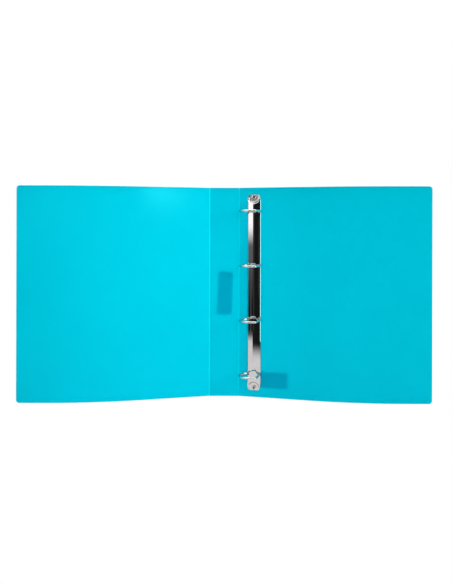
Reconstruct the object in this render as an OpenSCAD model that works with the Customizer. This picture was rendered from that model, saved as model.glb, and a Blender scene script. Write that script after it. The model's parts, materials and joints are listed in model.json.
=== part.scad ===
// A4 four-ring binder standing open on its bottom edges, inner side towards -Y.
// The covers and the spine are one folded polypropylene sheet; a D-ring mechanism is
// riveted to the inside of the back cover. +Z runs up along the spine, +X to the back
// cover, and the origin is the centre of the footprint's box on the table.

/* [Sheet] */
// Height of the covers and the spine
sheet_h = 310; // [300:1:330]
// Thickness of the polypropylene sheet
sheet_t = 0.8; // [0.6:0.1:1.0]
// Distance between the two fold lines
spine_w = 44; // [42:1:70]
// Radius of the covers' outer corners
corner_r = 4.5; // [2:0.5:12]

/* [Cover shape] */
// Angle at which each cover leaves the fold, towards the reader
cover_tilt = 14.5; // [5:0.5:20]
// Straight length of a cover next to its fold
inner_run = 105; // [80:1:130]
// Length of the curved middle of a cover
curve_run = 135; // [100:1:160]
// Straight length of a cover at its outer edge
outer_run = 39; // [20:1:60]

/* [Fold] */
// Distance from a fold line to the full-thickness sheet
fold_half_w = 0.75; // [0.7:0.05:1.0]
// Thickness of the sheet left in the fold
web_t = 0.3; // [0.2:0.05:0.4]

/* [Rail] */
// Length of the rail
rail_l = 289.5; // [284:0.5:296]
// Width of the rail
rail_w = 21.5; // [21:0.1:23]
// Length over which the rail narrows at each end
rail_taper_l = 11; // [10:0.5:13]
// Width to which the rail's sides narrow at its very end
rail_end_w = 17; // [15:0.5:19]
// Height of the rail at its crown
rail_h = 6; // [5.8:0.1:6.5]
// Thickness of the rail's steel
rail_t = 0.8; // [0.6:0.1:0.9]
// Distance from the back fold line to the rail's centre line
rail_offset = 22.9; // [22.9:0.1:30]

/* [Rings] */
// Spacing of the rings
ring_pitch = 80; // [70:1:85]
// Diameter of the ring wire
wire_d = 3; // [2.6:0.1:3.2]
// Height of the rings' flat top above the cover, at the wire's centre
ring_h = 33; // [32:0.5:34]
// Radius of the corner between post and top
post_corner_r = 4.5; // [4:0.5:6]

/* [Rivets] */
// Distance from a rivet to the near end of the rail
rivet_inset = 4; // [4:0.5:6]
// Radius of the rivet's rolled collar
collar_r = 3.75; // [3.4:0.05:4]
// Radius of the rivet's outside head
head_r = 4.6; // [4:0.1:5]

/* [Labels] */
// Long side of the spine label
spine_label_l = 63.5; // [40:0.5:80]
// Long side of the back label
back_label_l = 44; // [30:1:60]
// Short side of the spine label
spine_label_w = 22; // [15:1:30]
// Short side of the back label
back_label_w = 24; // [15:1:26]

/* [Hidden] */
$fn = 96;

sheet_colour = [0.0, 0.80, 0.89];
web_colour = [0.35, 0.90, 0.95];
chrome_colour = [0.80, 0.81, 0.83];
steel_colour = [0.62, 0.64, 0.66];
label_colour = [0.93, 0.95, 0.96];

// Sheet
curve_r = curve_run * 180 / (PI * cover_tilt);
cover_depth = inner_run * sin(cover_tilt) + curve_r * (1 - cos(cover_tilt));
curve_steps = 24;
label_t = 0.1;
// The two folds lie this far behind the centre of the footprint's box.
fold_y = (cover_depth + sheet_t / 2 - sheet_t / 2 - label_t) / 2;
web_past_fold = 0.45;

// Rail: a crowned arch on two upright side walls, which curl in under the blades.
wall_h = 2.2;
crown_rise = rail_h - wall_h;
crown_r = (pow(rail_w / 2, 2) + pow(crown_rise, 2)) / (2 * crown_rise);
lip_w = 2.2;
lip_t = 0.6;
rail_z = (sheet_h - rail_l) / 2;
// Each end narrows evenly, then turns in a corner of this radius.
rail_corner_r = 5;
taper_slope = (rail_w - rail_end_w) / 2 / rail_taper_l;
taper_slant = sqrt(1 + taper_slope * taper_slope);
rail_corner_x = rail_end_w / 2 + rail_corner_r * (taper_slope - taper_slant);
rail_corner_steps = 8;
rivet_z = [rail_z + rivet_inset, sheet_h - rail_z - rivet_inset];
seat_r = 9.2;
rivet_hole_r = 2.3;
shank_r = 2.2;
rivet_bore_r = 1.5;
collar_t = 0.7;
head_t = 1.4;

// Blades: each turns about its outer edge, which sits in the rail's curled wall.
blade_t = 0.9;
blade_pivot_x = rail_w / 2 - rail_t - blade_t / 2 - 0.15;
blade_pivot_h = 1.5;
blade_l = blade_pivot_x - 0.2;
blade_drop = 4.8;
blade_z = rivet_z[0] + seat_r + 2.2;
foot_peg_r = 0.8;
foot_peg_clearance = 0.05;
foot_peg_inset = 1;

// Rings
ring_z = [for (i = [0 : 3]) sheet_h / 2 + (1.5 - i) * ring_pitch];
wire_r = wire_d / 2;
back_r = ring_h / 2;
back_x = -1.6;
joint_x = 3;
tip_gap = 0.1;
post_x = blade_pivot_x + 0.25;
notch_clearance = 0.5;
notch_depth = 4.2;
nose_l = 1;
nose_r = 0.8;
nose_clearance = 0.2;

// Places its children, drawn as (distance from fold, height above inner face, z),
// on the straight part of the back cover.
module on_back_cover() {
    translate([spine_w / 2, fold_y, 0])
        rotate([0, 0, -cover_tilt])
            translate([0, -sheet_t / 2, 0])
                mirror([0, 1, 0])
                    children();
}

// Places its children, drawn about the rail's centre line.
module on_rail() {
    on_back_cover()
        translate([rail_offset, 0, 0])
            children();
}

// ---- Sheet ----

// Point on a cover's curve, seen from above: angle 0 is where the straight inner run
// ends, and offset is the distance from the sheet's middle towards the outer face.
function curve_point(angle, offset) = [
    inner_run + (curve_r - offset) * sin(angle),
    curve_r - (curve_r - offset) * cos(angle)
];

// One face of a cover, seen from above, from the fold to the outer edge.
function cover_face(offset) = concat(
    [[fold_half_w, offset]],
    [for (i = [0 : curve_steps]) curve_point(cover_tilt * i / curve_steps, offset)],
    [curve_point(cover_tilt, offset) + outer_run * [cos(cover_tilt), sin(cover_tilt)]]
);

function backwards(points) = [for (i = [len(points) - 1 : -1 : 0]) points[i]];

// What is cut from the lower outer corner of a cover to round it.
module corner_cut() {
    rotate([90, 0, 0])
        linear_extrude(2 * sheet_t, center = true)
            difference() {
                translate([-corner_r, -1])
                    square([corner_r + 1, corner_r + 1]);
                translate([-corner_r, corner_r])
                    circle(r = corner_r);
            }
}

// One cover, leaving its fold along +X and bending back to the spine's plane.
module cover_panel() {
    edge = curve_point(cover_tilt, 0) + outer_run * [cos(cover_tilt), sin(cover_tilt)];
    difference() {
        linear_extrude(sheet_h)
            polygon(concat(cover_face(-sheet_t / 2), backwards(cover_face(sheet_t / 2))));
        translate([edge[0], edge[1], 0])
            rotate([0, 0, cover_tilt]) {
                corner_cut();
                translate([0, 0, sheet_h])
                    mirror([0, 0, 1])
                        corner_cut();
            }
    }
}

module front_cover() {
    color(sheet_colour)
        mirror([1, 0, 0])
            translate([spine_w / 2, fold_y, 0])
                rotate([0, 0, -cover_tilt])
                    cover_panel();
}

module back_cover() {
    color(sheet_colour)
        difference() {
            translate([spine_w / 2, fold_y, 0])
                rotate([0, 0, -cover_tilt])
                    cover_panel();
            for (z = rivet_z)
                on_rail()
                    translate([0, 1, z])
                        rotate([90, 0, 0])
                            cylinder(r = rivet_hole_r, h = sheet_t + 2);
        }
}

module spine_panel() {
    color(sheet_colour)
        translate([-spine_w / 2 + fold_half_w, fold_y - sheet_t / 2, 0])
            cube([spine_w - 2 * fold_half_w, sheet_t, sheet_h]);
}

// Thin strip that stays with the spine and reaches just past the fold line.
module hinge_web() {
    color(web_colour)
        translate([spine_w / 2 - fold_half_w, fold_y - web_t / 2, 0])
            cube([fold_half_w + web_past_fold, web_t, sheet_h]);
}

module back_hinge_web() {
    hinge_web();
}

module front_hinge_web() {
    mirror([1, 0, 0])
        hinge_web();
}

// ---- Rail ----

// Cross-section of the rail's outside, or of the inside of its crown and walls.
module arch_section(inset) {
    intersection() {
        translate([0, rail_h - crown_r])
            circle(r = crown_r - inset, $fn = 256);
        translate([-rail_w / 2 + inset, 0])
            square([rail_w - 2 * inset, rail_h]);
    }
}

// Cross-section of the curled steel: crown, side walls and the lips under the blades.
module rail_section() {
    difference() {
        arch_section(0);
        arch_section(rail_t);
    }
    for (side = [-1, 1])
        translate([side * (rail_w - lip_w) / 2, lip_t / 2])
            square([lip_w, lip_t], center = true);
}

// One side of the rail's outline at one end: along the round corner to the full width.
function rail_corner() = concat(
    [for (i = [0 : rail_corner_steps])
        let (angle = -90 + (90 - atan(taper_slope)) * i / rail_corner_steps)
            [rail_corner_x + rail_corner_r * cos(angle), rail_corner_r * (1 + sin(angle))]],
    [[rail_w / 2, rail_taper_l]]
);

// Outline of the rail seen from above, narrowed and rounded at both ends.
module rail_outline() {
    right = concat(rail_corner(), backwards([for (p = rail_corner()) [p[0], rail_l - p[1]]]));
    left = backwards([for (p = right) [-p[0], p[1]]]);
    translate([0, rail_z])
        polygon(concat(right, left));
}

// A solid of the given radius that stands on the cover at a rivet.
module seat_column(z, radius, from, to) {
    translate([0, to, z])
        rotate([90, 0, 0])
            cylinder(r = radius, h = to - from);
}

// Steel of one rivet seat: the round wall down to the cover and the floor in it.
module rivet_seat(z) {
    intersection() {
        linear_extrude(sheet_h)
            arch_section(0);
        difference() {
            seat_column(z, seat_r + rail_t, 0, rail_h);
            seat_column(z, seat_r, rail_t, rail_h + 1);
        }
    }
}

// Space round one ring foot, open at the side of the rail.
module ring_notch(z, side) {
    notch_w = wire_d + 2 * notch_clearance;
    translate([side * rail_w / 2 - notch_depth, lip_t + 0.3, z - notch_w / 2])
        cube([2 * notch_depth, rail_h, notch_w]);
}

module rail_plate() {
    color(chrome_colour)
        on_rail()
            difference() {
                intersection() {
                    union() {
                        difference() {
                            translate([0, 0, rail_z])
                                linear_extrude(rail_l)
                                    rail_section();
                            for (z = rivet_z)
                                seat_column(z, seat_r + rail_t / 2, -1, rail_h + 1);
                        }
                        for (z = rivet_z)
                            rivet_seat(z);
                    }
                    translate([0, rail_h, 0])
                        rotate([90, 0, 0])
                            linear_extrude(rail_h)
                                rail_outline();
                }
                for (z = rivet_z)
                    seat_column(z, rivet_hole_r, -1, rail_h);
                for (z = ring_z, side = [-1, 1])
                    ring_notch(z, side);
            }
}

// ---- Blades ----

// Places its children in the right blade's own frame: +X inwards from its outer edge.
module at_right_blade() {
    translate([blade_pivot_x, blade_pivot_h, 0])
        mirror([1, 0, 0])
            rotate([0, 0, -blade_drop])
                children();
}

module right_blade_shape() {
    at_right_blade()
        difference() {
            translate([0, 0, blade_z])
                linear_extrude(sheet_h - 2 * blade_z) {
                    circle(d = blade_t);
                    translate([0, -blade_t / 2])
                        square([blade_l - blade_t / 2, blade_t]);
                    translate([blade_l - blade_t / 2, 0])
                        circle(d = blade_t);
                }
            for (z = ring_z)
                translate([foot_peg_inset, blade_t, z])
                    rotate([90, 0, 0])
                        cylinder(r = foot_peg_r + foot_peg_clearance, h = 2 * blade_t);
        }
}

module right_blade() {
    color(steel_colour)
        on_rail()
            right_blade_shape();
}

module left_blade() {
    color(steel_colour)
        on_rail()
            mirror([1, 0, 0])
                right_blade_shape();
}

// ---- Rings ----

// A straight run of wire along +Y from the origin.
module wire_run(length) {
    rotate([-90, 0, 0])
        cylinder(r = wire_r, h = length);
}

// A bend of wire about the origin, in the plane of the ring.
module wire_bend(radius, start, angle) {
    rotate_extrude(angle = angle, start = start)
        translate([radius, 0])
            circle(r = wire_r);
}

// Everything below the top face of the right blade.
module below_right_blade_top() {
    at_right_blade()
        translate([-10, blade_t / 2 - 20, -10])
            cube([30, 20, 20]);
}

// Peg that holds a ring foot in the right blade.
module right_foot_peg() {
    at_right_blade()
        translate([foot_peg_inset, blade_t, 0])
            rotate([90, 0, 0])
                cylinder(r = foot_peg_r, h = 1.5 * blade_t);
}

// Straight-post half of a ring, closed, with a recess in its tip.
module post_half() {
    corner_x = post_x - post_corner_r;
    corner_h = ring_h - post_corner_r;
    difference() {
        union() {
            translate([post_x, blade_pivot_h, 0])
                wire_run(corner_h - blade_pivot_h);
            translate([corner_x, corner_h, 0])
                wire_bend(post_corner_r, 0, 90);
            translate([joint_x + tip_gap / 2, ring_h, 0])
                rotate([0, 0, -90])
                    wire_run(corner_x - joint_x - tip_gap / 2);
        }
        below_right_blade_top();
        translate([joint_x, ring_h, 0])
            rotate([0, 90, 0])
                cylinder(r1 = nose_r + nose_clearance, r2 = nose_r / 2 + nose_clearance,
                         h = nose_l + nose_clearance);
    }
    right_foot_peg();
}

// Round-backed half of a ring, closed, with a nose on its tip. The back is one arc
// that starts level at the top and would touch the cover if it went on past its foot.
module back_half() {
    foot_angle = acos((back_r - blade_pivot_h) / back_r);
    difference() {
        union() {
            translate([joint_x - tip_gap / 2, ring_h, 0])
                rotate([0, 0, 90])
                    wire_run(joint_x - tip_gap / 2 - back_x);
            translate([back_x, ring_h - back_r, 0])
                wire_bend(back_r, 90, 180 - foot_angle);
        }
        mirror([1, 0, 0])
            below_right_blade_top();
    }
    translate([joint_x - tip_gap / 2, ring_h, 0])
        rotate([0, 90, 0])
            cylinder(r1 = nose_r, r2 = nose_r / 2, h = nose_l);
    mirror([1, 0, 0])
        right_foot_peg();
}

module ring_left(index) {
    color(chrome_colour)
        on_rail()
            translate([0, 0, ring_z[index]])
                back_half();
}

module ring_right(index) {
    color(chrome_colour)
        on_rail()
            translate([0, 0, ring_z[index]])
                post_half();
}

module ring_1_left() {
    ring_left(0);
}

module ring_2_left() {
    ring_left(1);
}

module ring_3_left() {
    ring_left(2);
}

module ring_4_left() {
    ring_left(3);
}

module ring_1_right() {
    ring_right(0);
}

module ring_2_right() {
    ring_right(1);
}

module ring_3_right() {
    ring_right(2);
}

module ring_4_right() {
    ring_right(3);
}

// ---- Rivets ----

// Domed head outside, shank through sheet and rail, rolled collar inside.
module rivet(z) {
    dome_r = (pow(head_r, 2) + pow(head_t, 2)) / (2 * head_t);
    color(chrome_colour)
        on_rail()
            translate([0, 0, z])
                rotate([-90, 0, 0])
                    difference() {
                        union() {
                            translate([0, 0, -sheet_t - head_t])
                                intersection() {
                                    translate([0, 0, dome_r])
                                        sphere(r = dome_r);
                                    cylinder(r = head_r, h = head_t);
                                }
                            translate([0, 0, -sheet_t])
                                cylinder(r = shank_r, h = sheet_t + rail_t);
                            translate([0, 0, rail_t])
                                cylinder(r1 = collar_r, r2 = collar_r - 0.5, h = collar_t);
                        }
                        translate([0, 0, -sheet_t])
                            cylinder(r = rivet_bore_r, h = sheet_t + rail_t + collar_t + 1);
                    }
}

module top_rivet() {
    rivet(rivet_z[1]);
}

module bottom_rivet() {
    rivet(rivet_z[0]);
}

// ---- Labels ----

// A sticker of the given length and width, centred, standing in the XZ plane.
module sticker(length, width) {
    rotate([90, 0, 0])
        linear_extrude(label_t)
            square([length, width], center = true);
}

module spine_label() {
    label_turn = -2.2;
    centre = [1, sheet_h / 2 - 2.3];
    color(label_colour)
        translate([centre[0], fold_y + sheet_t / 2 + label_t, centre[1]])
            rotate([0, -label_turn, 0])
                sticker(spine_label_w, spine_label_l);
}

module back_label() {
    label_turn = 0.4;
    right_end = 73.5;
    centre_z = 26.2;
    color(label_colour)
        on_back_cover()
            translate([right_end - back_label_l / 2, -sheet_t, centre_z])
                rotate([0, -label_turn, 0])
                    sticker(back_label_l, back_label_w);
}

front_cover();
spine_panel();
back_cover();
front_hinge_web();
back_hinge_web();
rail_plate();
left_blade();
right_blade();
ring_1_left();
ring_2_left();
ring_3_left();
ring_4_left();
ring_1_right();
ring_2_right();
ring_3_right();
ring_4_right();
top_rivet();
bottom_rivet();
spine_label();
back_label();
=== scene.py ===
"""Looks of an A4 four-ring binder that stands open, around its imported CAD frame. Metres, Z up."""

import json
import math

import bmesh
import bpy
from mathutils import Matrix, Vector


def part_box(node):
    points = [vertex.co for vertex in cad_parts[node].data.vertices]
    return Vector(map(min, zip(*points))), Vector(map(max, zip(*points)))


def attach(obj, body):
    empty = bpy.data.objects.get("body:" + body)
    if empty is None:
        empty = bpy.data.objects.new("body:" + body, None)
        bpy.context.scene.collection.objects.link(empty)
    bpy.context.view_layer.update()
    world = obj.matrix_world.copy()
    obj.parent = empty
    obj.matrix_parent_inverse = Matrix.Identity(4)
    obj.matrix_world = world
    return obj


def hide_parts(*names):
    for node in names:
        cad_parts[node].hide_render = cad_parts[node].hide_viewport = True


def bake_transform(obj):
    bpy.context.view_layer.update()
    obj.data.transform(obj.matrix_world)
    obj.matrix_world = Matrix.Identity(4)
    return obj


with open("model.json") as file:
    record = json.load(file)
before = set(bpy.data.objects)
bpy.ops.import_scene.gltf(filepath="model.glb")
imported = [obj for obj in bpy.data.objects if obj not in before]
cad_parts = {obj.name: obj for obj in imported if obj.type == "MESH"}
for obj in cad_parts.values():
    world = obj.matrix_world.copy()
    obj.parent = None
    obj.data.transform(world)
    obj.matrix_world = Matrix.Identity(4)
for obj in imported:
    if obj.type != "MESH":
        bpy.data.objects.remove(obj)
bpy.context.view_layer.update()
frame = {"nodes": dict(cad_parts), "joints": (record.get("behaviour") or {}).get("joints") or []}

MM = 0.001

# ---- Sizes that the looks share with the CAD model ----

SHEET_T = 0.8 * MM
COVER_TILT = math.radians(14.5)
INNER_RUN = 105 * MM
CURVE_RUN = 135 * MM
OUTER_RUN = 39 * MM
CURVE_R = CURVE_RUN / COVER_TILT
COVER_L = INNER_RUN + CURVE_RUN + OUTER_RUN
CORNER_R = 4.5 * MM
FOLD_HALF_W = 0.75 * MM
EDGE_ROUND = 0.3 * MM

RAIL_OFFSET = 22.9 * MM
RAIL_W = 21.5 * MM
RAIL_H = 6 * MM
RAIL_T = 0.8 * MM
RAIL_WALL_H = 2.2 * MM
RAIL_END_W = 17 * MM
RAIL_TAPER_L = 11 * MM
RAIL_CORNER_R = 5 * MM
SHOULDER_R = 2.0 * MM
NOTCH_HALF_W = 2.0 * MM
NOTCH_REACH = 4.2 * MM
SEAT_FLOOR_R = 6.6 * MM
SEAT_TOP_R = 10.2 * MM

RIVET_INSET = 4 * MM
RIVET_HOLE_R = 2.45 * MM
COLLAR_R = 3.75 * MM
BORE_R = 1.5 * MM
HEAD_R = 4.6 * MM
HEAD_H = 1.4 * MM

WIRE_R = 1.5 * MM
RING_H = 33 * MM
BACK_R = RING_H / 2
BACK_X = -1.6 * MM
JOINT_X = 3 * MM
TIP_GAP = 0.05 * MM
POST_X = 9.6 * MM
POST_CORNER_R = 4.5 * MM
FOOT_H = 1.95 * MM

SPINE_LABEL = (22 * MM, 63.5 * MM)
SPINE_LABEL_TURN = math.radians(-2.2)
BACK_LABEL = (44 * MM, 24 * MM)
BACK_LABEL_TURN = math.radians(0.4)
BACK_LABEL_END = 73.5 * MM
LABEL_T = 0.1 * MM
LABEL_CORNER_R = 1.2 * MM

# ---- Camera and lamps ----

CAMERA_PLACE = (0.0022, -0.9515, 0.2445)
CAMERA_ROLL = math.radians(-0.15)
CAMERA_LENS = 40.25
CAMERA_SHIFT_Y = -0.1031

# Square lamps aimed at LAMPS_AIM: name, place, side, watts.
LAMPS_AIM = (0, 0, 0.15)
LAMPS = [
    ("front_right", (1.5, -1.0, 0.7), 0.5, 22),
    ("front", (-0.15, -0.6, 0.2), 0.3, 1.85),
    ("back_left", (-0.5, 0.9, 0.45), 0.5, 1.5),
    ("back_right", (0.5, 0.9, 0.3), 0.5, 0.9),
    ("back", (-0.05, 0.55, 0.3), 0.3, 1.7),
]

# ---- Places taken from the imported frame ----

joints = {joint["name"]: joint for joint in frame["joints"]}
fold_x = joints["back_fold"]["pos_m"][0]
fold_y = joints["back_fold"]["pos_m"][1]
sheet_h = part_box("spine_panel")[1].z
rail_low_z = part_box("rail_plate")[0].z
rail_high_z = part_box("rail_plate")[1].z
rivet_zs = {"bottom_rivet": rail_low_z + RIVET_INSET, "top_rivet": rail_high_z - RIVET_INSET}


def middle_z(node):
    low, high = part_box(node)
    return (low.z + high.z) / 2


ring_zs = [middle_z(f"ring_{i}_right") for i in range(1, 5)]


# ---- Points of the object ----

def cover_point(side, along, out, z):
    """A point on the cover on side -1 (front) or 1 (back): along from its fold, out from its middle plane."""
    if along <= INNER_RUN:
        u, v = along, out
    elif along <= INNER_RUN + CURVE_RUN:
        turn = (along - INNER_RUN) / CURVE_R
        u = INNER_RUN + (CURVE_R - out) * math.sin(turn)
        v = CURVE_R - (CURVE_R - out) * math.cos(turn)
    else:
        past = along - INNER_RUN - CURVE_RUN
        c, s = math.cos(COVER_TILT), math.sin(COVER_TILT)
        u = INNER_RUN + (CURVE_R - out) * s + past * c
        v = CURVE_R - (CURVE_R - out) * c + past * s
    c, s = math.cos(COVER_TILT), math.sin(COVER_TILT)
    return Vector((side * (fold_x + u * c + v * s), fold_y - u * s + v * c, z))


def spine_point(along, out, z):
    return Vector((along, fold_y + out, z))


def rail_point(x, h, z):
    """A point of the mechanism: x from the rail's centre line, h above the back cover's inner face."""
    return cover_point(1, RAIL_OFFSET + x, -SHEET_T / 2 - h, z)


def arc_steps(start, end, count):
    return [start + (end - start) * i / count for i in range(count + 1)]


# ---- Mesh helpers ----

def new_object(name, verts, faces, sharp_angle=35):
    mesh = bpy.data.meshes.new(name)
    mesh.from_pydata([tuple(v) for v in verts], [], faces)
    mesh.validate()
    tidy = bmesh.new()
    tidy.from_mesh(mesh)
    bmesh.ops.recalc_face_normals(tidy, faces=tidy.faces)
    tidy.to_mesh(mesh)
    tidy.free()
    obj = bpy.data.objects.new(name, mesh)
    bpy.context.scene.collection.objects.link(obj)
    smooth(obj, sharp_angle)
    return obj


def smooth(obj, sharp_angle):
    obj.data.polygons.foreach_set("use_smooth", [True] * len(obj.data.polygons))
    obj.data.set_sharp_from_angle(angle=math.radians(sharp_angle))


def apply_modifiers(obj):
    """Replaces the object's mesh with what its modifiers make of it."""
    depsgraph = bpy.context.evaluated_depsgraph_get()
    mesh = bpy.data.meshes.new_from_object(obj.evaluated_get(depsgraph), depsgraph=depsgraph)
    obj.modifiers.clear()
    obj.data = mesh


def outward_offsets(loop):
    """For each corner of a closed, anticlockwise 2D loop, the mitred step that moves its edges out by 1."""
    steps = []
    count = len(loop)
    for i in range(count):
        before = (Vector(loop[i]) - Vector(loop[i - 1])).normalized()
        after = (Vector(loop[(i + 1) % count]) - Vector(loop[i])).normalized()
        normal_in = Vector((before.y, -before.x))
        normal_out = Vector((after.y, -after.x))
        mitre = normal_in + normal_out
        steps.append(mitre * 2 / mitre.length_squared)
    return steps


def rounded_slab(name, columns, z_range, point, half_t, edge=EDGE_ROUND, rows=16, rim_steps=6):
    """A closed sheet over columns of z, with a rounded rim. point(along, out, z) places it."""
    verts, faces = [], []

    def face_grid(out):
        first = len(verts)
        for along in columns:
            low, high = z_range(along)
            for j in range(rows + 1):
                verts.append(point(along, out, low + (high - low) * j / rows))
        return first

    def cell(first, i, j):
        return first + i * (rows + 1) + j

    inner = face_grid(-half_t)
    outer = face_grid(half_t)
    last = len(columns) - 1
    for first in (inner, outer):
        for i in range(last):
            for j in range(rows):
                faces.append((cell(first, i, j), cell(first, i + 1, j),
                              cell(first, i + 1, j + 1), cell(first, i, j + 1)))
    ring = [(i, 0) for i in range(last)] + [(last, j) for j in range(rows)]
    ring += [(i, rows) for i in range(last, 0, -1)] + [(0, j) for j in range(rows, 0, -1)]
    flat = []
    for i, j in ring:
        low, high = z_range(columns[i])
        flat.append((columns[i], low + (high - low) * j / rows))
    steps = outward_offsets(flat)
    loops = [[cell(inner, i, j) for i, j in ring]]
    for k in range(1, rim_steps):
        angle = math.pi * (k / rim_steps - 0.5)
        reach, out = edge * math.cos(angle), half_t * math.sin(angle)
        loop = []
        for (along, z), step in zip(flat, steps):
            loop.append(len(verts))
            verts.append(point(along + step.x * reach, out, z + step.y * reach))
        loops.append(loop)
    loops.append([cell(outer, i, j) for i, j in ring])
    count = len(ring)
    for a, b in zip(loops, loops[1:]):
        for i in range(count):
            j = (i + 1) % count
            faces.append((a[i], a[j], b[j], b[i]))
    return new_object(name, verts, faces)


def sweep(name, stations, segments=28):
    """A closed round bar through stations of (centre, direction, radius), in the plane of the ring (x, h)."""
    verts, faces = [], []
    for (x, h), (dx, dh), z, radius in stations:
        side = Vector((-dh, dx))
        for k in range(segments):
            angle = 2 * math.pi * k / segments
            verts.append(rail_point(x + side.x * radius * math.cos(angle), h + side.y * radius * math.cos(angle),
                                    z + radius * math.sin(angle)))
    for i in range(len(stations) - 1):
        for k in range(segments):
            n = (k + 1) % segments
            faces.append((i * segments + k, i * segments + n, (i + 1) * segments + n, (i + 1) * segments + k))
    faces.append(tuple(range(segments)))
    faces.append(tuple((len(stations) - 1) * segments + k for k in range(segments)))
    return new_object(name, verts, faces, sharp_angle=50)


def lathe(name, profile, place, segments=48):
    """A closed solid turned about an axis: profile is (radius, height) points, place(x, height, z) puts them down."""
    verts, faces, rings = [], [], []
    for radius, height in profile:
        if radius == 0:
            rings.append([len(verts)] * segments)
            verts.append(place(0, height, 0))
            continue
        rings.append([len(verts) + k for k in range(segments)])
        for k in range(segments):
            angle = 2 * math.pi * k / segments
            verts.append(place(radius * math.cos(angle), height, radius * math.sin(angle)))
    for a, b in zip(rings, rings[1:]):
        for k in range(segments):
            n = (k + 1) % segments
            corners = list(dict.fromkeys((a[k], a[n], b[n], b[k])))
            if len(corners) > 2:
                faces.append(tuple(corners))
    return new_object(name, verts, faces)


# ---- Node helpers ----

class Nodes:
    """The node tree of a material or a world, with short calls for what this scene uses."""

    def __init__(self, owner, output="ShaderNodeOutputMaterial", place="Object"):
        self.owner = owner
        self.owner.use_nodes = True
        self.tree = self.owner.node_tree
        self.tree.nodes.clear()
        self.output = self.tree.nodes.new(output)
        self.place = self.tree.nodes.new("ShaderNodeTexCoord").outputs[place]

    def add(self, kind, **sockets):
        node = self.tree.nodes.new(kind)
        for key, value in sockets.items():
            self.feed(node.inputs[key.replace("_", " ")], value)
        return node

    def feed(self, socket, value):
        if isinstance(value, bpy.types.NodeSocket):
            self.tree.links.new(value, socket)
        else:
            socket.default_value = value

    def stretched(self, scale):
        node = self.add("ShaderNodeMapping", Vector=self.place)
        node.inputs["Scale"].default_value = scale
        return node.outputs["Vector"]

    def noise(self, scale, detail=3.0, stretch=(1, 1, 1), roughness=0.55):
        node = self.add("ShaderNodeTexNoise", Vector=self.stretched(stretch))
        node.inputs["Scale"].default_value = scale
        node.inputs["Detail"].default_value = detail
        node.inputs["Roughness"].default_value = roughness
        return node.outputs["Fac"]

    def spread(self, value, low, high):
        node = self.add("ShaderNodeMapRange", Value=value)
        node.inputs["From Min"].default_value = 0.3
        node.inputs["From Max"].default_value = 0.7
        node.inputs["To Min"].default_value = low
        node.inputs["To Max"].default_value = high
        return node.outputs["Result"]

    def between(self, value, first, second):
        node = self.tree.nodes.new("ShaderNodeMix")
        node.data_type = "RGBA"
        self.feed(node.inputs["Factor"], value)
        node.inputs[6].default_value = (*first, 1)
        node.inputs[7].default_value = (*second, 1)
        return node.outputs[2]

    def bump(self, height, strength, distance, normal=None):
        node = self.add("ShaderNodeBump", Height=height)
        node.inputs["Strength"].default_value = strength
        node.inputs["Distance"].default_value = distance
        if normal is not None:
            self.feed(node.inputs["Normal"], normal)
        return node.outputs["Normal"]

    def finish(self, shader):
        self.tree.links.new(shader, self.output.inputs["Surface"])
        return self.owner


def material_nodes(name):
    return Nodes(bpy.data.materials.new(name))


def polypropylene(name, colour, deep_colour, light_share, grain=1.0):
    """Translucent satin sheet: light_share of what falls on its back shows through."""
    n = material_nodes(name)
    cloud = n.noise(14, detail=2)
    tone = n.between(n.spread(cloud, 0.0, 1.0), colour, deep_colour)
    fine = n.noise(2600, detail=2)
    ripple = n.noise(9, detail=1)
    normal = n.bump(fine, 0.12 * grain, 0.02 * MM, n.bump(ripple, 0.22, 1.2 * MM))
    body = n.add("ShaderNodeBsdfPrincipled", Base_Color=tone, Normal=normal,
                 Roughness=n.spread(n.noise(420, detail=4), 0.14, 0.20))
    body.inputs["IOR"].default_value = 1.49
    body.inputs["Specular Tint"].default_value = (0.05, 0.95, 1.0, 1)
    through = n.add("ShaderNodeBsdfTranslucent", Color=tone, Normal=normal)
    mix = n.add("ShaderNodeMixShader")
    mix.inputs["Fac"].default_value = light_share
    n.tree.links.new(body.outputs[0], mix.inputs[1])
    n.tree.links.new(through.outputs[0], mix.inputs[2])
    return n.finish(mix.outputs[0])


def plated(name, colour, rough_low, rough_high, streak=0.0):
    """Bright plating over pressed or drawn steel; streak adds faint lines along the part."""
    n = material_nodes(name)
    haze = n.noise(160, detail=4)
    lines = n.noise(1, detail=3, stretch=(700, 700, 9))
    normal = n.bump(lines, streak, 0.01 * MM, n.bump(n.noise(900, detail=2), 0.03, 0.01 * MM))
    tone = n.between(n.spread(haze, 0.0, 1.0), colour, tuple(c * 0.93 for c in colour))
    body = n.add("ShaderNodeBsdfPrincipled", Base_Color=tone, Normal=normal,
                 Roughness=n.spread(n.noise(55, detail=5), rough_low, rough_high))
    body.inputs["Metallic"].default_value = 1.0
    return n.finish(body.outputs[0])


def paper(name, colour):
    n = material_nodes(name)
    fibre = n.noise(1500, detail=5)
    tone = n.between(n.spread(n.noise(60, detail=3), 0.0, 1.0), colour, tuple(c * 0.94 for c in colour))
    body = n.add("ShaderNodeBsdfPrincipled", Base_Color=tone, Roughness=n.spread(fibre, 0.62, 0.8),
                 Normal=n.bump(fibre, 0.3, 0.02 * MM))
    return n.finish(body.outputs[0])


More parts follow.
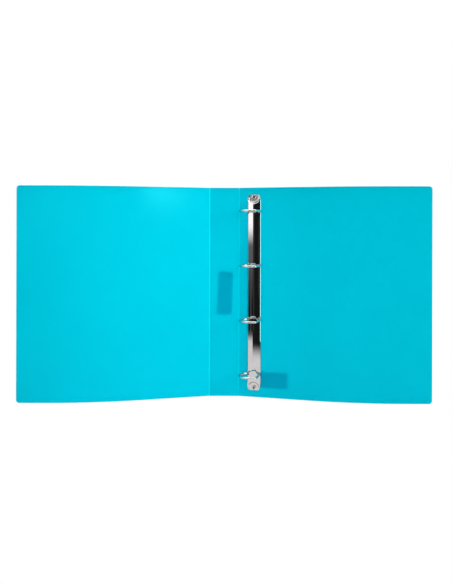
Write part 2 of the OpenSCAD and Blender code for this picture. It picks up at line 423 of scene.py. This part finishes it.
def make_materials():
    return {
        "sheet": polypropylene("sheet_pp", (0.0, 0.755, 0.868), (0.0, 0.742, 0.858), 0.70),
        # The fold webs are the sheet's plastic given lighter colours, the front one lighter than the back: painted
        # light along the creases.
        "front_web": polypropylene("front_web_pp_painted_light", (0.01, 0.99, 1.0), (0.01, 0.97, 1.0), 0.93, grain=0.3),
        "back_web": polypropylene("back_web_pp_painted_light", (0.0, 0.89, 0.95), (0.0, 0.87, 0.94), 0.78, grain=0.3),
        "rail": plated("rail_chrome", (0.64, 0.625, 0.625), 0.03, 0.07, streak=0.10),
        # The rail's inner side and cut edges are near-black: painted shade inside the rail.
        "inside": plated("rail_inside_painted_shade", (0.06, 0.06, 0.065), 0.40, 0.60),
        "ring": plated("ring_chrome", (0.68, 0.70, 0.70), 0.03, 0.07),
        "rivet": plated("rivet_nickel", (0.66, 0.65, 0.63), 0.12, 0.22),
        # The rivet bore is near-black: painted shade in the hollow.
        "bore": plated("rivet_bore_painted_shade", (0.10, 0.09, 0.10), 0.35, 0.55),
        # The blades are zinc grey deepened further: their own grey plus painted shade inside the rail.
        "blade": plated("blade_zinc_painted_shade", (0.30, 0.31, 0.32), 0.35, 0.50, streak=0.3),
        "label": paper("label_paper", (0.57, 0.60, 0.82)),
    }


# ---- Sheet ----

def place(obj, slot, body, *nodes):
    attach(obj, body)
    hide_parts(*nodes)
    return obj


def dress(obj, material, slot, body, *nodes):
    obj.data.materials.append(material)
    return place(obj, slot, body, *nodes)


def cover_z_range(along):
    """Lowest and highest z of the flat part of a cover's face at one distance from its fold."""
    radius = CORNER_R - EDGE_ROUND
    past = along - (COVER_L - CORNER_R)
    cut = radius - math.sqrt(max(radius ** 2 - past ** 2, 0)) if past > 0 else 0
    return EDGE_ROUND + cut, sheet_h - EDGE_ROUND - cut


def make_cover(name, side, body, node, materials):
    first = FOLD_HALF_W + EDGE_ROUND
    columns = arc_steps(first, INNER_RUN, 8)[:-1]
    columns += arc_steps(INNER_RUN, INNER_RUN + CURVE_RUN, 60)[:-1]
    columns += arc_steps(INNER_RUN + CURVE_RUN, COVER_L - CORNER_R, 4)[:-1]
    columns += [COVER_L - CORNER_R + (CORNER_R - EDGE_ROUND) * math.sin(a)
                for a in arc_steps(0, math.pi / 2, 12)]
    cover = rounded_slab(name, columns, cover_z_range,
                         lambda along, out, z: cover_point(side, along, out, z), SHEET_T / 2)
    return dress(cover, materials["sheet"], "sheet", body, node)


def make_spine(materials):
    half = fold_x - FOLD_HALF_W - EDGE_ROUND
    spine = rounded_slab("spine_sheet", arc_steps(-half, half, 8),
                         lambda along: (EDGE_ROUND, sheet_h - EDGE_ROUND), spine_point, SHEET_T / 2)
    return dress(spine, materials["sheet"], "sheet", "spine_body", "spine_panel")


def make_fold(name, side, node, material):
    """The pressed web between spine and cover: thin in the middle, flaring into both panels."""
    half_w = FOLD_HALF_W + 0.35 * MM
    thin, thick = 0.16 * MM, 0.36 * MM
    verts, faces, sections = [], [], []
    across = arc_steps(-half_w, half_w, 20)
    for z in arc_steps(EDGE_ROUND / 2, sheet_h - EDGE_ROUND / 2, 48):
        section = []
        for face in (-1, 1):
            for q in (across if face < 0 else reversed(across)):
                share = min(abs(q) / half_w, 1)
                half_t = thin + (thick - thin) * share ** 3
                bend = COVER_TILT * 0.5 * (1 + math.sin(math.pi / 2 * max(-1, min(1, q / FOLD_HALF_W))))
                turn = COVER_TILT if q > 0 else 0
                x = side * (fold_x + q * math.cos(turn) + face * half_t * math.sin(bend))
                y = fold_y - q * math.sin(turn) + face * half_t * math.cos(bend)
                section.append(len(verts))
                verts.append((x, y, z))
        sections.append(section)
    for a, b in zip(sections, sections[1:]):
        for k in range(len(a)):
            n = (k + 1) % len(a)
            faces.append((a[k], a[n], b[n], b[k]))
    faces.append(tuple(sections[0]))
    faces.append(tuple(sections[-1]))
    web = new_object(name, verts, faces)
    web.data.materials.append(material)
    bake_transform(web)
    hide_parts(node)
    return web


# ---- Mechanism ----

def rail_section():
    """The outside of the rail across its width: lip, wall, shoulder, crown and back down, as (x, h, is_lip)."""
    rise = RAIL_H - RAIL_WALL_H
    radius = ((RAIL_W / 2) ** 2 + rise ** 2) / (2 * rise)
    roll = 0.7 * MM
    turn_x = RAIL_W / 2 - SHOULDER_R
    turn_h = RAIL_H - radius + math.sqrt((radius - SHOULDER_R) ** 2 - turn_x ** 2)
    span = math.asin(turn_x / (radius - SHOULDER_R))
    lip = [(RAIL_W / 2 - 2.2 * MM + roll * i / 4, 0, True) for i in range(5)]
    lip += [(RAIL_W / 2 - roll + roll * math.sin(a), roll - roll * math.cos(a), True)
            for a in arc_steps(0, math.pi / 2, 6)]
    shoulder = [(turn_x + SHOULDER_R * math.sin(a), turn_h + SHOULDER_R * math.cos(a), False)
                for a in arc_steps(math.pi / 2, span, 10)[:-1]]
    crown = [(radius * math.sin(a), RAIL_H - radius + radius * math.cos(a), False)
             for a in arc_steps(span, -span, 56)]
    left = [(-x, h, is_lip) for x, h, is_lip in reversed(lip + shoulder)]
    return lip + shoulder + crown + left


def smoothstep(low, high, value):
    t = max(0.0, min(1.0, (value - low) / (high - low)))
    return t * t * (3 - 2 * t)


def rail_half_width(z):
    """Half of the rail's width at z: each end narrows evenly and then turns in a round corner."""
    from_end = min(z - rail_low_z, rail_high_z - z)
    slope = (RAIL_W - RAIL_END_W) / 2 / RAIL_TAPER_L
    slant = math.sqrt(1 + slope ** 2)
    if from_end >= RAIL_CORNER_R * (1 - slope / slant):
        return RAIL_END_W / 2 + slope * min(from_end, RAIL_TAPER_L)
    corner_x = RAIL_END_W / 2 + RAIL_CORNER_R * (slope - slant)
    inside = RAIL_CORNER_R - from_end
    return corner_x + math.sqrt(max(RAIL_CORNER_R ** 2 - inside ** 2, 0))


def seat_height(x, h, z):
    """The crown's height after the round rivet seats are pressed into it."""
    centre = min(rivet_zs.values(), key=lambda c: abs(c - z))
    share = smoothstep(SEAT_FLOOR_R, SEAT_TOP_R, math.hypot(x, z - centre))
    return min(h, RAIL_T + (h - RAIL_T) * share)


def rail_stations():
    """Heights along the rail at which its section is drawn, with lines at every notch's edges."""
    end_zone = 26 * MM
    ends = [rail_low_z + RAIL_CORNER_R * (1 - math.cos(a)) for a in arc_steps(0, math.pi / 2, 12)]
    low = ends + arc_steps(ends[-1], rail_low_z + end_zone, 44)[1:]
    high = [rail_low_z + rail_high_z - z for z in reversed(low)]
    middle = arc_steps(low[-1], high[0], 40)[1:-1]
    notches = [z + side * NOTCH_HALF_W for z in ring_zs for side in (-1, 1)]
    free = [z for z in middle if all(abs(z - n) > 2.5 * MM for n in ring_zs)]
    return sorted(low + free + high + notches)


def in_notch(x, z):
    return abs(x) > RAIL_W / 2 - NOTCH_REACH and any(abs(z - c) < NOTCH_HALF_W for c in ring_zs)


def make_rail(materials):
    section = rail_section()
    stations = rail_stations()
    verts, faces = [], []
    for z in stations:
        squeeze = rail_half_width(z) / (RAIL_W / 2)
        for x, h, is_lip in section:
            x *= squeeze
            verts.append(rail_point(x, h if is_lip else seat_height(x, h, z), z))
    width = len(section)
    lips_from, lips_to = rail_low_z + 15 * MM, rail_high_z - 15 * MM
    for i, (z_a, z_b) in enumerate(zip(stations, stations[1:])):
        z_mid = (z_a + z_b) / 2
        for k in range(width - 1):
            x_mid = (section[k][0] + section[k + 1][0]) / 2
            is_bottom = section[k][1] < 1e-6 and section[k + 1][1] < 1e-6
            if in_notch(x_mid, z_mid) and not is_bottom:
                continue
            if is_bottom and not lips_from < z_mid < lips_to:
                continue
            if min(math.hypot(x_mid, z_mid - z) for z in rivet_zs.values()) < RIVET_HOLE_R:
                continue
            faces.append((i * width + k, i * width + k + 1, (i + 1) * width + k + 1, (i + 1) * width + k))
    rail = new_object("rail", verts, faces)
    turn_outwards(rail)
    rail.data.materials.append(materials["rail"])
    # The inner side and rims of the plate take the near-black material, painted shade inside the rail and its
    # notches.
    rail.data.materials.append(materials["inside"])
    solid = rail.modifiers.new("steel", "SOLIDIFY")
    solid.thickness = RAIL_T
    solid.offset = -1
    solid.material_offset = 1
    solid.material_offset_rim = 1
    solid.use_even_offset = True
    edge = rail.modifiers.new("edge", "BEVEL")
    edge.width = 0.12 * MM
    edge.segments = 2
    edge.limit_method = "ANGLE"
    edge.angle_limit = math.radians(50)
    apply_modifiers(rail)
    smooth(rail, 40)
    return place(rail, "rail_chrome", "back_body", "rail_plate")


def turn_outwards(obj):
    """Makes an open skin's faces look away from the mechanism's middle line."""
    inside = rail_point(0, RAIL_T, sheet_h / 2)
    score = 0
    for face in obj.data.polygons:
        away = face.center - Vector((inside.x, inside.y, face.center.z))
        score += face.normal.dot(away)
    if score < 0:
        obj.data.flip_normals()


def tip_stations(x, direction, z):
    """Wire stations at the joint: a chamfer, then a short nose, slimmer on the back half (1) than on the post half
    (-1).
    """
    chamfer = 0.15 * MM
    nose = 1.0 * MM
    wide, narrow = (0.8 * MM, 0.4 * MM) if direction > 0 else (1.0 * MM, 0.6 * MM)
    tip_x = x - direction * TIP_GAP
    heading = (direction, 0)
    return [((tip_x - direction * chamfer, RING_H), heading, z, WIRE_R),
            ((tip_x, RING_H), heading, z, WIRE_R - chamfer),
            ((tip_x, RING_H), heading, z, wide),
            ((tip_x + nose, RING_H), heading, z, narrow)]


def make_back_half(index, materials):
    """The round-backed half: from its foot on the left blade up and over to the joint."""
    z = ring_zs[index]
    foot_angle = math.acos((BACK_R - FOOT_H) / BACK_R)
    stations = []
    for a in arc_steps(1.5 * math.pi - foot_angle, math.pi / 2, 60):
        centre = (BACK_X + BACK_R * math.cos(a), BACK_R + BACK_R * math.sin(a))
        stations.append((centre, (math.sin(a), -math.cos(a)), z, WIRE_R))
    stations += tip_stations(JOINT_X, 1, z)
    half = sweep(f"ring_{index + 1}_back_half", stations)
    return dress(half, materials["ring"], "ring_chrome", "left_jaw", f"ring_{index + 1}_left")


def make_post_half(index, materials):
    """The straight half: from its foot on the right blade up the post and round to the joint."""
    z = ring_zs[index]
    corner_x, corner_h = POST_X - POST_CORNER_R, RING_H - POST_CORNER_R
    stations = [((POST_X, h), (0, 1), z, WIRE_R) for h in arc_steps(FOOT_H, corner_h, 8)[:-1]]
    for a in arc_steps(0, math.pi / 2, 20):
        centre = (corner_x + POST_CORNER_R * math.cos(a), corner_h + POST_CORNER_R * math.sin(a))
        stations.append((centre, (-math.sin(a), math.cos(a)), z, WIRE_R))
    stations += tip_stations(JOINT_X, -1, z)
    half = sweep(f"ring_{index + 1}_post_half", stations)
    return dress(half, materials["ring"], "ring_chrome", "right_jaw", f"ring_{index + 1}_right")


def rivet_profile():
    """The rivet as (radius, height) points: the domed head outside, the shank, the rolled collar and its bore."""
    back = -SHEET_T
    profile = [(0, back - HEAD_H)]
    dome_r = (HEAD_R ** 2 + HEAD_H ** 2) / (2 * HEAD_H)
    for i in range(1, 9):
        r = (HEAD_R - 0.3 * MM) * i / 8
        profile.append((r, back - HEAD_H + dome_r - math.sqrt(dome_r ** 2 - r ** 2)))
    profile += [(HEAD_R - 0.1 * MM, back - 0.25 * MM), (HEAD_R, back - 0.1 * MM), (HEAD_R - 0.1 * MM, back)]
    profile += [(2.2 * MM, back), (2.2 * MM, RAIL_T), (COLLAR_R - 0.2 * MM, RAIL_T)]
    roll_r = (COLLAR_R - BORE_R) / 2
    foot, crest = 0.12 * MM, 0.58 * MM
    for a in arc_steps(-0.25 * math.pi, math.pi, 14):
        profile.append((BORE_R + roll_r + roll_r * math.cos(a), RAIL_T + foot + crest * max(math.sin(a), 0)))
    return profile + [(BORE_R, 0.3 * MM), (0, 0.08 * MM)]


def make_rivet(node, materials):
    """One rivet; the last two rings of its profile, the bore, take a near-black material: painted shade in the bore.
    """
    z = rivet_zs[node]
    bore_rings, segments = 2, 48
    rivet = lathe(f"{node}_piece", rivet_profile(), lambda x, h, dz: rail_point(x, h, z + dz), segments)
    dress(rivet, materials["rivet"], "rivet_nickel", "back_body", node)
    rivet.data.materials.append(materials["bore"])
    for face in rivet.data.polygons[-bore_rings * segments:]:
        face.material_index = 1
    return rivet


# ---- Labels ----

def make_label(name, node, body, materials, point, turn, size):
    """A plain sticker with slightly rounded corners, on an outer face."""
    length, height = size
    outline = []
    for cx, cz, start in ((1, 1, 0), (-1, 1, 90), (-1, -1, 180), (1, -1, 270)):
        for a in arc_steps(math.radians(start), math.radians(start + 90), 6):
            outline.append((cx * (length / 2 - LABEL_CORNER_R) + LABEL_CORNER_R * math.cos(a),
                            cz * (height / 2 - LABEL_CORNER_R) + LABEL_CORNER_R * math.sin(a)))
    turned = [(x * math.cos(turn) - z * math.sin(turn), x * math.sin(turn) + z * math.cos(turn))
              for x, z in outline]
    verts = [point(x, 0.005 * MM, z) for x, z in turned] + [point(x, LABEL_T * 0.95, z) for x, z in turned]
    count = len(turned)
    faces = [tuple(range(count)), tuple(range(count, 2 * count))]
    faces += [(k, (k + 1) % count, count + (k + 1) % count, count + k) for k in range(count)]
    label = new_object(name, verts, faces)
    return dress(label, materials["label"], "label_paper", body, node)


def make_labels(materials):
    low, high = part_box("spine_label")
    centre = (low + high) / 2
    make_label("spine_sticker", "spine_label", "spine_body", materials,
               lambda x, out, z: spine_point(centre.x + x, SHEET_T / 2 + out, centre.z + z),
               SPINE_LABEL_TURN, SPINE_LABEL)
    back_z = middle_z("back_label")
    along = BACK_LABEL_END - BACK_LABEL[0] / 2
    make_label("back_sticker", "back_label", "back_body", materials,
               lambda x, out, z: cover_point(1, along + x, SHEET_T / 2 + out, back_z + z),
               BACK_LABEL_TURN, BACK_LABEL)


# ---- Studio ----

def area_light(name, place, target, size, energy, only_on=None):
    data = bpy.data.lights.new(name, "AREA")
    data.shape = "RECTANGLE"
    data.size, data.size_y = size
    data.energy = energy
    lamp = bpy.data.objects.new(name, data)
    lamp.location = place
    lamp.rotation_euler = (Vector(target) - Vector(place)).to_track_quat("-Z", "Y").to_euler()
    lamp.visible_camera = False
    lamp.visible_glossy = only_on is not None
    if only_on is not None:
        lit = bpy.data.collections.new(f"{name}_falls_on")
        lit.objects.link(only_on)
        lamp.light_linking.receiver_collection = lit
    bpy.context.scene.collection.objects.link(lamp)
    return lamp


def is_ray(n, kind):
    return n.add("ShaderNodeLightPath").outputs[f"Is {kind} Ray"]


def choose(n, factor, first, second):
    mix = n.add("ShaderNodeMixShader")
    n.tree.links.new(factor, mix.inputs[0])
    n.tree.links.new(first, mix.inputs[1])
    n.tree.links.new(second, mix.inputs[2])
    return mix.outputs[0]


def glow(n, strength, kind="ShaderNodeEmission", tint=(1, 1, 1)):
    node = n.add(kind, Strength=strength)
    node.inputs["Color"].default_value = (*tint, 1)
    return node.outputs[0]


def fade(n, value, low, high, at_low, at_high):
    ramp = n.add("ShaderNodeMapRange", Value=value)
    ramp.interpolation_type = "SMOOTHSTEP"
    ramp.inputs["From Min"].default_value = low
    ramp.inputs["From Max"].default_value = high
    n.feed(ramp.inputs["To Min"], at_low)
    ramp.inputs["To Max"].default_value = at_high
    return ramp.outputs["Result"]


def only_in_reflections(obj):
    obj.visible_camera = False
    obj.visible_diffuse = False
    obj.visible_transmission = False
    obj.visible_volume_scatter = False
    obj.visible_shadow = False


def make_wall(name, start, end, radius, low, top, glow_at, tint=(1, 1, 1)):
    """A card curved round the rail, from one bearing to another, that only shiny parts mirror."""
    centre = rail_point(0, RAIL_H, 0)
    verts, faces = [], []
    bearings = arc_steps(math.radians(start), math.radians(end), max(2, round((end - start) / 3)))
    for a in bearings:
        for z in (low, top):
            verts.append((radius * math.sin(a), -radius * math.cos(a), z))
    for i in range(len(bearings) - 1):
        faces.append((2 * i, 2 * i + 2, 2 * i + 3, 2 * i + 1))
    wall = new_object(name, verts, faces)
    wall.location = (centre.x, centre.y, 0)
    n = material_nodes(f"{name}_glow")
    wall.data.materials.append(n.finish(glow(n, glow_at(n), tint=tint)))
    only_in_reflections(wall)


def lit_from_above(n):
    """Bright at the height of the binder's upper edge, dim below, dark at the table."""
    height = n.add("ShaderNodeSeparateXYZ", Vector=n.place).outputs["Z"]
    dim = fade(n, height, 0.05, 0.20, 0.012, 0.15)
    return fade(n, height, 0.205, 0.268, dim, 1.6)


def make_walls():
    make_wall("lit_wall", -112, -31, 0.65, 0.002, 0.7, lit_from_above)
    make_wall("upper_card", -30, -19, 0.65, 0.318, 0.7, lambda n: 0.5)
    make_wall("left_slit", -58, -46, 0.64, 0.002, 0.15, lambda n: 0.09)
    make_wall("front_slit", -26, -18, 0.64, 0.002, 0.3, lambda n: 0.06)
    make_wall("right_slit", 27, 36, 0.64, 0.09, 0.28, lambda n: 0.06)
    make_wall("right_card", 46, 75, 0.49, 0.002, 0.7, lambda n: 2.6, tint=(0.45, 1.0, 1.0))


def near_rail(n, near, far, bright, dark):
    """Bright up to a distance near from the rail, fading to dark at the distance far."""
    distance = n.tree.nodes.new("ShaderNodeVectorMath")
    distance.operation = "LENGTH"
    n.feed(distance.inputs[0], n.place)
    return fade(n, distance.outputs["Value"], near, far, bright, dark)


def make_left_floor():
    """The table's bright part reaches further on the rail's left, as a sector that only shiny parts mirror."""
    centre = rail_point(0, RAIL_H, 0)
    bearings = arc_steps(math.radians(-112), math.radians(-33), 26)
    verts = [(r * math.sin(a), -r * math.cos(a), 0) for a in bearings for r in (0.05, 0.63)]
    faces = [(2 * i, 2 * i + 1, 2 * i + 3, 2 * i + 2) for i in range(26)]
    sector = new_object("left_floor", verts, faces)
    sector.location = (centre.x, centre.y, 0.002)
    n = material_nodes("left_floor_glow")
    sector.data.materials.append(n.finish(glow(n, near_rail(n, 0.47, 0.60, 0.95, 0.09))))
    only_in_reflections(sector)


def make_floor():
    """White table; what the chrome mirrors of it fades to dark at some distance from the rail."""
    reach = 6.0
    centre = rail_point(0, RAIL_H, 0)
    floor = new_object("floor", [(-reach, -reach, 0), (reach, -reach, 0), (reach, reach, 0), (-reach, reach, 0)],
                       [(0, 1, 2, 3)])
    floor.location = (centre.x, centre.y, 0)
    n = material_nodes("floor_white")
    body = n.add("ShaderNodeBsdfPrincipled", Roughness=n.spread(n.noise(30), 0.55, 0.65))
    body.inputs["Base Color"].default_value = (0.88, 0.88, 0.88, 1)
    body.inputs["Emission Color"].default_value = (1, 1, 1, 1)
    body.inputs["Emission Strength"].default_value = 0.15
    mirrored = glow(n, near_rail(n, 0.28, 0.47, 0.95, 0.012))
    lit = choose(n, is_ray(n, "Glossy"), body.outputs[0], mirrored)
    floor.data.materials.append(n.finish(choose(n, is_ray(n, "Camera"), lit, glow(n, 1.0))))


def make_world():
    """White behind the binder; shiny surfaces mirror a dark room with a bright ceiling instead."""
    n = Nodes(bpy.data.worlds.new("studio"), "ShaderNodeOutputWorld", "Generated")
    up = n.add("ShaderNodeSeparateXYZ", Vector=n.place).outputs["Z"]
    room = glow(n, fade(n, up, 0.72, 0.84, 0.012, 2.6), "ShaderNodeBackground")
    soft = glow(n, 0.01, "ShaderNodeBackground")
    white = glow(n, 1.0, "ShaderNodeBackground")
    surround = choose(n, is_ray(n, "Glossy"), soft, room)
    bpy.context.scene.world = n.finish(choose(n, is_ray(n, "Camera"), surround, white))


def make_studio():
    make_world()
    make_floor()
    make_walls()
    make_left_floor()
    area_light("highlight", (0.19, -0.635, 0.45), (-0.087, 0.005, 0.291), (0.085, 0.29), 1.3,
               only_on=bpy.data.objects["front_cover_sheet"])
    for name, place, side, energy in LAMPS:
        area_light(name, place, LAMPS_AIM, (side, side), energy)
    bpy.context.scene.view_settings.view_transform = "Standard"


def make_camera():
    data = bpy.data.cameras.new("camera")
    data.sensor_width = 36
    data.lens = CAMERA_LENS
    data.shift_y = CAMERA_SHIFT_Y
    camera = bpy.data.objects.new("camera", data)
    camera.location = CAMERA_PLACE
    camera.rotation_euler = (math.radians(90), CAMERA_ROLL, 0)
    bpy.context.scene.collection.objects.link(camera)
    bpy.context.scene.camera = camera


# ---- Binder ----

def make_binder():
    materials = make_materials()
    make_cover("front_cover_sheet", -1, "front_body", "front_cover", materials)
    make_cover("back_cover_sheet", 1, "back_body", "back_cover", materials)
    make_spine(materials)
    # The fold webs take lighter copies of the sheet's plastic, painted light along the creases.
    make_fold("front_fold_web", -1, "front_hinge_web", materials["front_web"])
    make_fold("back_fold_web", 1, "back_hinge_web", materials["back_web"])
    make_rail(materials)
    for index in range(4):
        make_back_half(index, materials)
        make_post_half(index, materials)
    for node in rivet_zs:
        make_rivet(node, materials)
    # The blades take the darkened zinc, painted shade where they sit inside the rail.
    for node in ("left_blade", "right_blade"):
        blade = frame["nodes"][node]
        blade.data.materials.clear()
        blade.data.materials.append(materials["blade"])
    make_labels(materials)


make_camera()
make_binder()
make_studio()
